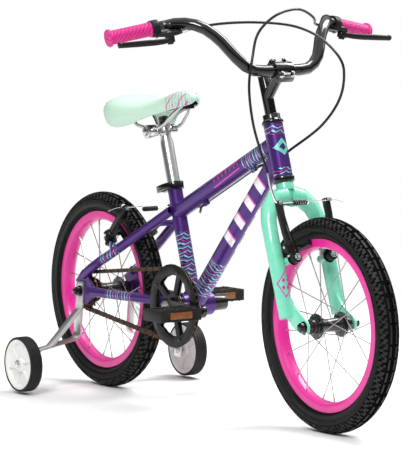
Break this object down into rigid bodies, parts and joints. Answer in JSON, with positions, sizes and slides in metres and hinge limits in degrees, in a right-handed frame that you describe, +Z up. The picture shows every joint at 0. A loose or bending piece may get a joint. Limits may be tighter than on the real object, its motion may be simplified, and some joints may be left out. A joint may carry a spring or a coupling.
{
  "type": "kids bike",
  "caption": "Child's bike with pedals, chain drive, rim brakes, padded saddle, rise handlebar and bolt-on stabiliser wheels.",
  "frame": {"origin": "on the ground under the rear axle, in the bike's middle plane", "axes": "+X forward along the wheelbase, +Y to the rider's left, +Z up"},
  "size_m": [1.1516, 0.6134, 0.7675],
  "materials": {
    "purple_paint": "satin metallic purple",
    "mint_paint": "glossy mint paint",
    "black_paint": "satin black paint",
    "black_alloy": "black coated alloy",
    "pink_rubber": "matt hot pink rubber",
    "black_plastic": "moulded black plastic",
    "polished_steel": "bright plated steel",
    "tyre_rubber": "matt black tyre rubber",
    "pink_anodised": "hot pink coated alloy",
    "zinc_steel": "zinc plated steel",
    "chain_steel": "brownish oiled steel",
    "saddle_vinyl": "pale mint padded vinyl",
    "white_plastic": "moulded plastic",
    "cable_housing": "black cable housing"
  },
  "bodies": {
    "frame": {"head_tube": "purple_paint", "bottom_bracket_shell": "purple_paint", "seat_tube": "purple_paint", "top_tube": "purple_paint", "down_tube": "purple_paint", "chainstay_right": "purple_paint", "chainstay_left": "purple_paint", "seatstay_right": "purple_paint", "seatstay_left": "purple_paint", "headset_lower": "black_paint", "rear_axle": "zinc_steel", "chain": "chain_steel", "bottom_bracket": "black_paint", "seat_clamp": "black_paint", "stabiliser_bracket_right": "zinc_steel", "stabiliser_bracket_left": "zinc_steel", "rear_brake_cable_loop": "cable_housing", "rear_brake_cable_run": "cable_housing"},
    "front_fork": {"fork": "mint_paint", "headset_upper": "black_paint", "front_axle": "zinc_steel", "front_brake_cable": "cable_housing"},
    "stem": {"stem": "black_paint", "stem_clamp_cap": "black_paint"},
    "handlebar": {"handlebar": "black_paint", "grip_right": "pink_rubber", "grip_left": "pink_rubber", "brake_lever_mount_right": "black_plastic", "brake_lever_mount_left": "black_plastic"},
    "brake_lever_right": {"brake_lever_right": "black_plastic"},
    "brake_lever_left": {"brake_lever_left": "black_plastic"},
    "front_brake_arm_right": {"front_brake_arm_right": "black_alloy", "front_brake_noodle": "polished_steel"},
    "front_brake_arm_left": {"front_brake_arm_left": "black_alloy"},
    "rear_brake_arm_right": {"rear_brake_arm_right": "black_alloy"},
    "rear_brake_arm_left": {"rear_brake_arm_left": "black_alloy"},
    "front_wheel": {"front_tyre": "tyre_rubber", "front_rim": "pink_anodised", "front_hub": "black_alloy"},
    "rear_wheel": {"rear_tyre": "tyre_rubber", "rear_rim": "pink_anodised", "rear_hub": "black_alloy"},
    "freewheel": {"freewheel": "chain_steel"},
    "cranks": {"crank_spindle": "zinc_steel", "chainring": "black_paint", "chain_guard": "black_plastic", "crank_right": "black_paint", "crank_left": "black_paint"},
    "pedal_right": {"pedal_right": "black_plastic"},
    "pedal_left": {"pedal_left": "black_plastic"},
    "seatpost": {"seatpost": "polished_steel"},
    "saddle": {"saddle_clamp": "polished_steel", "saddle_rails": "zinc_steel", "saddle_base": "black_plastic", "saddle_cover": "saddle_vinyl"},
    "seat_clamp_lever": {"seat_clamp_lever": "black_paint"},
    "stabiliser_wheel_right": {"stabiliser_wheel_right": "white_plastic", "stabiliser_tyre_right": "tyre_rubber"},
    "stabiliser_wheel_left": {"stabiliser_wheel_left": "white_plastic", "stabiliser_tyre_left": "tyre_rubber"}
  },
  "joints": [
    {"name": "steering", "type": "hinge", "parent": "frame", "child": "front_fork", "pos_m": [0.71258, 0, 0.17989], "axis": [-0.3173, 0, 0.9483], "range_deg": [-70, 70], "deforming": ["rear_brake_cable_loop"]},
    {"name": "stem_height", "type": "slide", "parent": "front_fork", "child": "stem", "axis": [-0.3173, 0, 0.9483], "range_m": [-0.015, 0.02], "deforming": ["rear_brake_cable_loop", "front_brake_cable"]},
    {"name": "handlebar_roll", "type": "hinge", "parent": "stem", "child": "handlebar", "pos_m": [0.61557, 0, 0.65358], "axis": [0, 1, 0], "range_deg": [-12, 12], "deforming": ["rear_brake_cable_loop", "front_brake_cable"]},
    {"name": "brake_lever_right", "type": "hinge", "parent": "handlebar", "child": "brake_lever_right", "pos_m": [0.53997, -0.1939, 0.71381], "axis": [0, 0.1823, -0.9832], "range_deg": [0, 17], "stiffness_Nm_per_rad": 1.2, "springref_deg": -5.73},
    {"name": "brake_lever_left", "type": "hinge", "parent": "handlebar", "child": "brake_lever_left", "pos_m": [0.53997, 0.1939, 0.71381], "axis": [0, 0.1823, 0.9832], "range_deg": [0, 17], "stiffness_Nm_per_rad": 1.2, "springref_deg": -5.73},
    {"name": "front_brake_right_closes", "type": "hinge", "parent": "front_fork", "child": "front_brake_arm_right", "pos_m": [0.71342, -0.04, 0.31778], "axis": [-0.9483, 0, -0.3173], "range_deg": [0, 3], "deforming": ["front_brake_cable"]},
    {"name": "front_brake_left_closes", "type": "hinge", "parent": "front_fork", "child": "front_brake_arm_left", "pos_m": [0.71342, 0.04, 0.31778], "axis": [0.9483, 0, 0.3173], "range_deg": [0, 3]},
    {"name": "rear_brake_right_closes", "type": "hinge", "parent": "frame", "child": "rear_brake_arm_right", "pos_m": [0.0771, -0.04, 0.30394], "axis": [-0.6293, 0, 0.7771], "range_deg": [0, 3]},
    {"name": "rear_brake_left_closes", "type": "hinge", "parent": "frame", "child": "rear_brake_arm_left", "pos_m": [0.0771, 0.04, 0.30394], "axis": [0.6293, 0, -0.7771], "range_deg": [0, 3], "deforming": ["rear_brake_cable_run"]},
    {"name": "front_wheel_spin", "type": "hinge", "parent": "front_fork", "child": "front_wheel", "pos_m": [0.76, 0, 0.19575], "axis": [0, 1, 0], "continuous": true},
    {"name": "rear_wheel_spin", "type": "hinge", "parent": "frame", "child": "rear_wheel", "pos_m": [0, 0, 0.19575], "axis": [0, 1, 0], "continuous": true},
    {"name": "crank_spin", "type": "hinge", "parent": "frame", "child": "cranks", "pos_m": [0.321, 0, 0.194], "axis": [0, 1, 0], "continuous": true},
    {"name": "freewheel_spin", "type": "hinge", "parent": "frame", "child": "freewheel", "pos_m": [0, 0, 0.19575], "axis": [0, 1, 0], "continuous": true},
    {"name": "pedal_right_spin", "type": "hinge", "parent": "cranks", "child": "pedal_right", "pos_m": [0.431, -0.124, 0.194], "axis": [0, 1, 0], "continuous": true},
    {"name": "pedal_left_spin", "type": "hinge", "parent": "cranks", "child": "pedal_left", "pos_m": [0.211, 0.124, 0.194], "axis": [0, 1, 0], "continuous": true},
    {"name": "seatpost_height", "type": "slide", "parent": "frame", "child": "seatpost", "axis": [-0.2924, 0, 0.9563], "range_m": [-0.07, 0.045]},
    {"name": "saddle_tilt", "type": "hinge", "parent": "seatpost", "child": "saddle", "pos_m": [0.20318, 0, 0.52293], "axis": [0, 1, 0], "range_deg": [-15, 15]},
    {"name": "seat_clamp_lever_opens", "type": "hinge", "parent": "frame", "child": "seat_clamp_lever", "pos_m": [0.22989, -0.019, 0.41162], "axis": [0.2924, 0, -0.9563], "range_deg": [0, 165]},
    {"name": "stabiliser_right_spin", "type": "hinge", "parent": "frame", "child": "stabiliser_wheel_right", "pos_m": [-0.0035, -0.1955, 0.058], "axis": [0, 1, 0], "continuous": true},
    {"name": "stabiliser_left_spin", "type": "hinge", "parent": "frame", "child": "stabiliser_wheel_left", "pos_m": [-0.0035, 0.1955, 0.058], "axis": [0, 1, 0], "continuous": true}
  ],
  "couplings": [
    {"joint": "freewheel_spin", "follows": "crank_spin", "ratio": 2},
    {"joint": "front_brake_right_closes", "follows": "brake_lever_left", "ratio": 0.176},
    {"joint": "front_brake_left_closes", "follows": "brake_lever_left", "ratio": 0.176},
    {"joint": "rear_brake_right_closes", "follows": "brake_lever_right", "ratio": 0.176},
    {"joint": "rear_brake_left_closes", "follows": "brake_lever_right", "ratio": 0.176}
  ]
}
